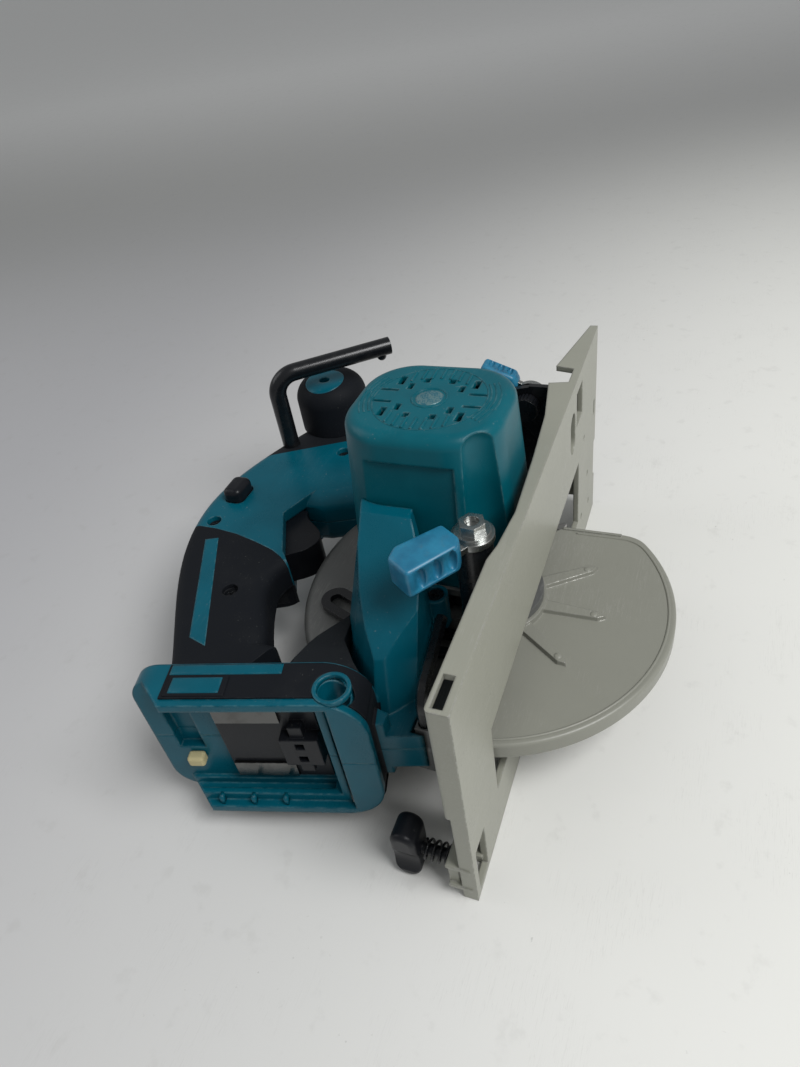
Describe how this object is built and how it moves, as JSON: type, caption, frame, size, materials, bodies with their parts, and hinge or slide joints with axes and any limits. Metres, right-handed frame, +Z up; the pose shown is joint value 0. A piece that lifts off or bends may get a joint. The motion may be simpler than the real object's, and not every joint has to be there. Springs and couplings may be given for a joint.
{
  "type": "cordless circular saw",
  "caption": "Hand-held battery circular saw with a swinging lower guard, a tilting and depth-setting base plate, a rear grip and a slide-on battery holder.",
  "frame": {"origin": "on the blade arbor axis at the middle plane of the blade", "axes": "+X along the cutting direction, +Y from the sole towards the handle, +Z along the arbor towards the motor; the saw lies on its blade side, so +Z is up"},
  "size_m": [0.2802, 0.2695, 0.162],
  "materials": {
    "teal_plastic": "fine grained moulded plastic",
    "black_plastic": "satin moulded plastic",
    "black_rubber": "soft over-moulded rubber, slightly dusty",
    "grey_plastic": "glossy moulded plastic",
    "blue_cover": "glossy soft finger cover",
    "pale_rubber": "soft pale buffer",
    "grey_paint": "warm grey paint",
    "cast_grey": "painted casting",
    "steel": "plain steel",
    "zinc": "zinc plated",
    "black_steel": "black finish on steel",
    "bright_plate": "bright contact metal",
    "winding": "laminations with windings"
  },
  "bodies": {
    "saw": {"stator": "winding", "main_bearing": "steel", "end_bearing": "steel", "motor_bearings": "steel", "bearing_box": "cast_grey", "guard_ring": "steel", "box_screws": "zinc", "blade_case": "cast_grey", "guard_stop": "black_rubber", "motor_cover": "teal_plastic", "handle_right": "teal_plastic", "handle_left": "teal_plastic", "grip_rubber_right": "black_rubber", "grip_rubber_left": "black_rubber", "grip_inlay": "teal_plastic", "neck_rubber": "black_rubber", "holder_band_right": "black_rubber", "holder_band_left": "black_rubber", "holder_eye": "teal_plastic", "terminal_block": "black_plastic", "terminal_plates": "bright_plate", "battery_buffer": "pale_rubber", "controller": "black_plastic", "switch_box": "black_plastic", "front_grip": "black_rubber", "front_grip_inlay": "teal_plastic", "hex_key": "black_steel", "handle_screws": "zinc", "depth_bolt": "zinc", "depth_spacer": "zinc"},
    "spindle": {"spindle": "steel", "spindle_gear": "steel", "inner_flange": "zinc", "outer_flange": "zinc", "blade_bolt": "zinc", "blade": "steel"},
    "rotor": {"rotor_shaft": "steel", "rotor_core": "steel", "fan": "black_plastic"},
    "guard": {"lower_guard": "grey_paint", "guard_lever": "black_plastic"},
    "trigger": {"trigger": "black_plastic"},
    "lock_off": {"lock_off_lever": "black_plastic"},
    "shaft_lock": {"shaft_lock": "black_plastic"},
    "hook": {"hook": "black_steel"},
    "depth_lever": {"depth_lever": "zinc", "depth_lever_cover": "blue_cover", "depth_nut": "zinc"},
    "tilt_frame": {"front_bracket": "black_steel", "depth_guide": "black_steel", "bevel_bolt": "zinc", "pivot_bolt": "zinc"},
    "base": {"base_plate": "grey_paint", "bevel_quadrant": "black_steel", "hinge_pins": "zinc", "thumb_spring": "steel"},
    "bevel_lever": {"bevel_lever": "zinc", "bevel_lever_cover": "blue_cover", "bevel_nut": "zinc"},
    "thumb_screw": {"thumb_screw": "black_plastic"}
  },
  "joints": [
    {"name": "blade_spin", "type": "hinge", "parent": "saw", "child": "spindle", "pos_m": [0, 0, 0], "axis": [0, 0, 1], "continuous": true},
    {"name": "rotor_spin", "type": "hinge", "parent": "saw", "child": "rotor", "pos_m": [0.0052, 0.02307, 0.06], "axis": [0, 0, 1], "continuous": true},
    {"name": "guard_swing", "type": "hinge", "parent": "saw", "child": "guard", "pos_m": [0, 0, 0], "axis": [0, 0, 1], "range_deg": [-130, 0], "stiffness_Nm_per_rad": 0.08, "springref_deg": 34.38},
    {"name": "trigger_pull", "type": "slide", "parent": "saw", "child": "trigger", "axis": [0, 1, 0], "range_m": [0, 0.006], "stiffness_N_per_m": 600, "springref_m": -0.003},
    {"name": "lock_off_push", "type": "slide", "parent": "saw", "child": "lock_off", "axis": [0, 0, 1], "range_m": [-0.0035, 0.0035], "stiffness_N_per_m": 500},
    {"name": "shaft_lock_push", "type": "slide", "parent": "saw", "child": "shaft_lock", "axis": [-0.9397, 0.342, 0], "range_m": [0, 0.0025], "stiffness_N_per_m": 500, "springref_m": -0.002},
    {"name": "hook_swing", "type": "hinge", "parent": "saw", "child": "hook", "pos_m": [0.083, 0.1555, 0.06], "axis": [0, 0, 1], "range_deg": [-150, 0]},
    {"name": "depth_lever_turn", "type": "hinge", "parent": "saw", "child": "depth_lever", "pos_m": [-0.045, -0.009, 0.086], "axis": [0, 0, 1], "range_deg": [-40, 0]},
    {"name": "depth_swing", "type": "hinge", "parent": "saw", "child": "tilt_frame", "pos_m": [0.124, 0.005, 0.017], "axis": [0, 0, 1], "range_deg": [0, 26.5]},
    {"name": "bevel_tilt", "type": "hinge", "parent": "tilt_frame", "child": "base", "pos_m": [0, -0.016, 0], "axis": [1, 0, 0], "range_deg": [0, 50]},
    {"name": "bevel_lever_turn", "type": "hinge", "parent": "tilt_frame", "child": "bevel_lever", "pos_m": [0.087, -0.001, 0.072], "axis": [1, 0, 0], "range_deg": [0, 70]},
    {"name": "thumb_screw_turn", "type": "hinge", "parent": "base", "child": "thumb_screw", "pos_m": [-0.1225, 0, -0.027], "axis": [0, 1, 0], "continuous": true}
  ],
  "couplings": [
    {"joint": "rotor_spin", "follows": "blade_spin", "ratio": -5}
  ]
}
